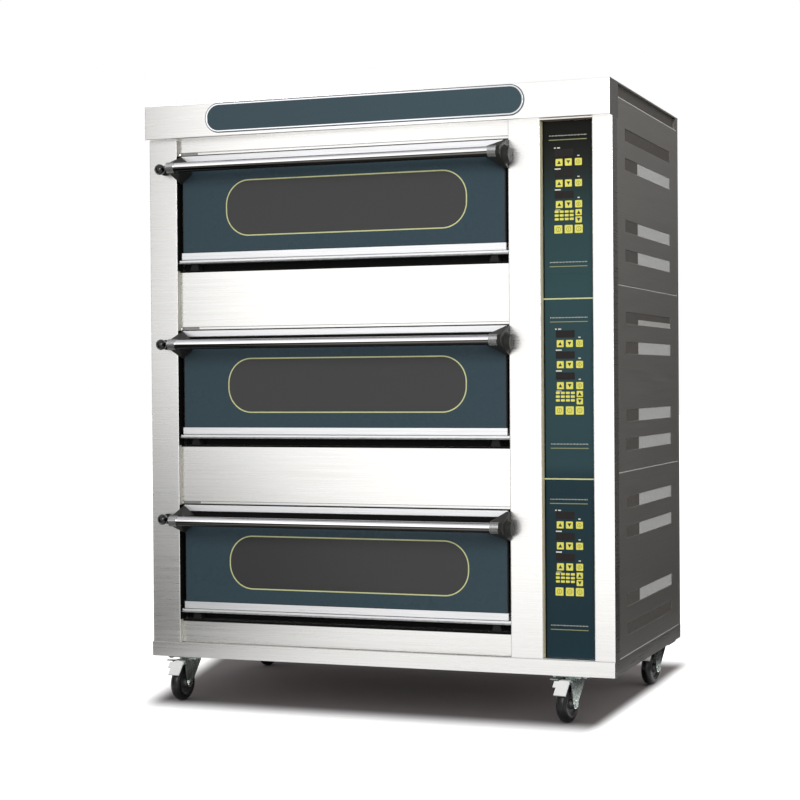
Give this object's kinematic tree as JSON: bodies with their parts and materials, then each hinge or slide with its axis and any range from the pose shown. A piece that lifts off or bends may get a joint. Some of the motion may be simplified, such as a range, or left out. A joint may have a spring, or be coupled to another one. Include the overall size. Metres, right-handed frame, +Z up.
{
  "type": "deck oven",
  "caption": "Tall electric bakery oven of stacked decks with drop-down glazed doors, pull-rod steam dampers and a control column, on braked swivel casters.",
  "frame": {"origin": "on the floor under the middle of the bounding box", "axes": "+Z up, +Y from the doors to the back, +X to the right as one faces the doors"},
  "size_m": [1.34, 0.92, 1.673],
  "materials": {
    "stainless": "brushed stainless sheet",
    "galvanised": "spangled zinc sheet",
    "vent_mesh": "fine woven wire",
    "sign_face": "satin enamel with a bright rim",
    "control_face": "satin polyester film",
    "key_yellow": "embossed membrane",
    "display_black": "smoked acrylic",
    "chamber_steel": "aluminised sheet, heat tinted",
    "hearth": "fired baking stone",
    "element": "oxidised tube",
    "lamp_glass": "ribbed heat-proof glass",
    "mineral_wool": "fibrous slab",
    "door_black": "satin black enamel",
    "door_glass": "toughened, back printed",
    "rail": "satin anodised",
    "chrome": "polished tube with satin collars",
    "black_plastic": "moulded, lightly grained",
    "hinge_steel": "blackened steel",
    "zinc": "bright zinc plate",
    "wheel_rubber": "moulded tread",
    "pedal_white": "smooth",
    "gland_nylon": "moulded nylon"
  },
  "bodies": {
    "cabinet": {"base_plinth": "stainless", "left_column": "stainless", "right_column": "stainless", "control_surround": "stainless", "fascia_panels": "stainless", "canopy": "stainless", "roof_panel": "stainless", "left_side_panels": "stainless", "right_side_panels": "stainless", "back_panels": "stainless", "rear_posts": "stainless", "deck_shelves": "galvanised", "steam_flue": "galvanised", "electrics_rack": "galvanised", "vent_screens": "vent_mesh", "sign_plate": "sign_face", "control_panels": "control_face", "keypads": "key_yellow", "display_windows": "display_black", "hearth_plates": "hearth", "heating_elements": "element", "oven_lamps": "lamp_glass", "insulation": "mineral_wool", "door_hinges": "hinge_steel", "damper_bushes": "black_plastic", "cable_gland": "gland_nylon", "caster_plates": "zinc", "chamber_liner_lower": "chamber_steel", "chamber_liner_middle": "chamber_steel", "chamber_liner_upper": "chamber_steel"},
    "door_lower": {"door_casing_lower": "door_black", "door_glass_lower": "door_glass", "door_rails_lower": "rail", "handle_tube_lower": "chrome", "handle_brackets_lower": "black_plastic"},
    "damper_lower": {"damper_pull_lower": "black_plastic"},
    "door_middle": {"door_casing_middle": "door_black", "door_glass_middle": "door_glass", "door_rails_middle": "rail", "handle_tube_middle": "chrome", "handle_brackets_middle": "black_plastic"},
    "damper_middle": {"damper_pull_middle": "black_plastic"},
    "door_upper": {"door_casing_upper": "door_black", "door_glass_upper": "door_glass", "door_rails_upper": "rail", "handle_tube_upper": "chrome", "handle_brackets_upper": "black_plastic"},
    "damper_upper": {"damper_pull_upper": "black_plastic"},
    "fork_front_left": {"caster_fork_front_left": "zinc"},
    "wheel_front_left": {"caster_wheel_front_left": "wheel_rubber"},
    "pedal_front_left": {"brake_pedal_front_left": "pedal_white"},
    "fork_front_right": {"caster_fork_front_right": "zinc"},
    "wheel_front_right": {"caster_wheel_front_right": "wheel_rubber"},
    "pedal_front_right": {"brake_pedal_front_right": "pedal_white"},
    "fork_rear_left": {"caster_fork_rear_left": "zinc"},
    "wheel_rear_left": {"caster_wheel_rear_left": "wheel_rubber"},
    "pedal_rear_left": {"brake_pedal_rear_left": "pedal_white"},
    "fork_rear_right": {"caster_fork_rear_right": "zinc"},
    "wheel_rear_right": {"caster_wheel_rear_right": "wheel_rubber"},
    "pedal_rear_right": {"brake_pedal_rear_right": "pedal_white"}
  },
  "joints": [
    {"name": "door_lower_hinge", "type": "hinge", "parent": "cabinet", "child": "door_lower", "pos_m": [-0.0975, -0.351, 0.275], "axis": [1, 0, 0], "range_deg": [0, 90], "stiffness_Nm_per_rad": 7.5, "springref_deg": -8.59},
    {"name": "damper_lower_slide", "type": "slide", "parent": "cabinet", "child": "damper_lower", "axis": [0, -1, 0], "range_m": [0, 0.04]},
    {"name": "door_middle_hinge", "type": "hinge", "parent": "cabinet", "child": "door_middle", "pos_m": [-0.0975, -0.351, 0.765], "axis": [1, 0, 0], "range_deg": [0, 90], "stiffness_Nm_per_rad": 7.5, "springref_deg": -8.59},
    {"name": "damper_middle_slide", "type": "slide", "parent": "cabinet", "child": "damper_middle", "axis": [0, -1, 0], "range_m": [0, 0.04]},
    {"name": "door_upper_hinge", "type": "hinge", "parent": "cabinet", "child": "door_upper", "pos_m": [-0.0975, -0.351, 1.255], "axis": [1, 0, 0], "range_deg": [0, 90], "stiffness_Nm_per_rad": 7.5, "springref_deg": -8.59},
    {"name": "damper_upper_slide", "type": "slide", "parent": "cabinet", "child": "damper_upper", "axis": [0, -1, 0], "range_m": [0, 0.04]},
    {"name": "swivel_front_left", "type": "hinge", "parent": "cabinet", "child": "fork_front_left", "pos_m": [-0.58, -0.327, 0.12], "axis": [0, 0, 1], "continuous": true},
    {"name": "axle_front_left", "type": "hinge", "parent": "fork_front_left", "child": "wheel_front_left", "pos_m": [-0.58331, -0.36485, 0.05], "axis": [0.9962, -0.0872, 0], "continuous": true},
    {"name": "brake_front_left", "type": "hinge", "parent": "fork_front_left", "child": "pedal_front_left", "pos_m": [-0.58436, -0.37681, 0.108], "axis": [0.9962, -0.0872, 0], "range_deg": [-14, 0]},
    {"name": "swivel_front_right", "type": "hinge", "parent": "cabinet", "child": "fork_front_right", "pos_m": [0.545, -0.327, 0.12], "axis": [0, 0, 1], "continuous": true},
    {"name": "axle_front_right", "type": "hinge", "parent": "fork_front_right", "child": "wheel_front_right", "pos_m": [0.5384, -0.36442, 0.05], "axis": [0.9848, -0.1736, 0], "continuous": true},
    {"name": "brake_front_right", "type": "hinge", "parent": "fork_front_right", "child": "pedal_front_right", "pos_m": [0.53632, -0.37624, 0.108], "axis": [0.9848, -0.1736, 0], "range_deg": [-14, 0]},
    {"name": "swivel_rear_left", "type": "hinge", "parent": "cabinet", "child": "fork_rear_left", "pos_m": [-0.616, 0.338, 0.12], "axis": [0, 0, 1], "continuous": true},
    {"name": "axle_rear_left", "type": "hinge", "parent": "fork_rear_left", "child": "wheel_rear_left", "pos_m": [-0.62129, 0.30037, 0.05], "axis": [0.9903, -0.1392, 0], "continuous": true},
    {"name": "brake_rear_left", "type": "hinge", "parent": "fork_rear_left", "child": "pedal_rear_left", "pos_m": [-0.62296, 0.28849, 0.108], "axis": [0.9903, -0.1392, 0], "range_deg": [-14, 0]},
    {"name": "swivel_rear_right", "type": "hinge", "parent": "cabinet", "child": "fork_rear_right", "pos_m": [0.616, 0.338, 0.12], "axis": [0, 0, 1], "continuous": true},
    {"name": "axle_rear_right", "type": "hinge", "parent": "fork_rear_right", "child": "wheel_rear_right", "pos_m": [0.6094, 0.30058, 0.05], "axis": [0.9848, -0.1736, 0], "continuous": true},
    {"name": "brake_rear_right", "type": "hinge", "parent": "fork_rear_right", "child": "pedal_rear_right", "pos_m": [0.60732, 0.28876, 0.108], "axis": [0.9848, -0.1736, 0], "range_deg": [-14, 0]}
  ]
}
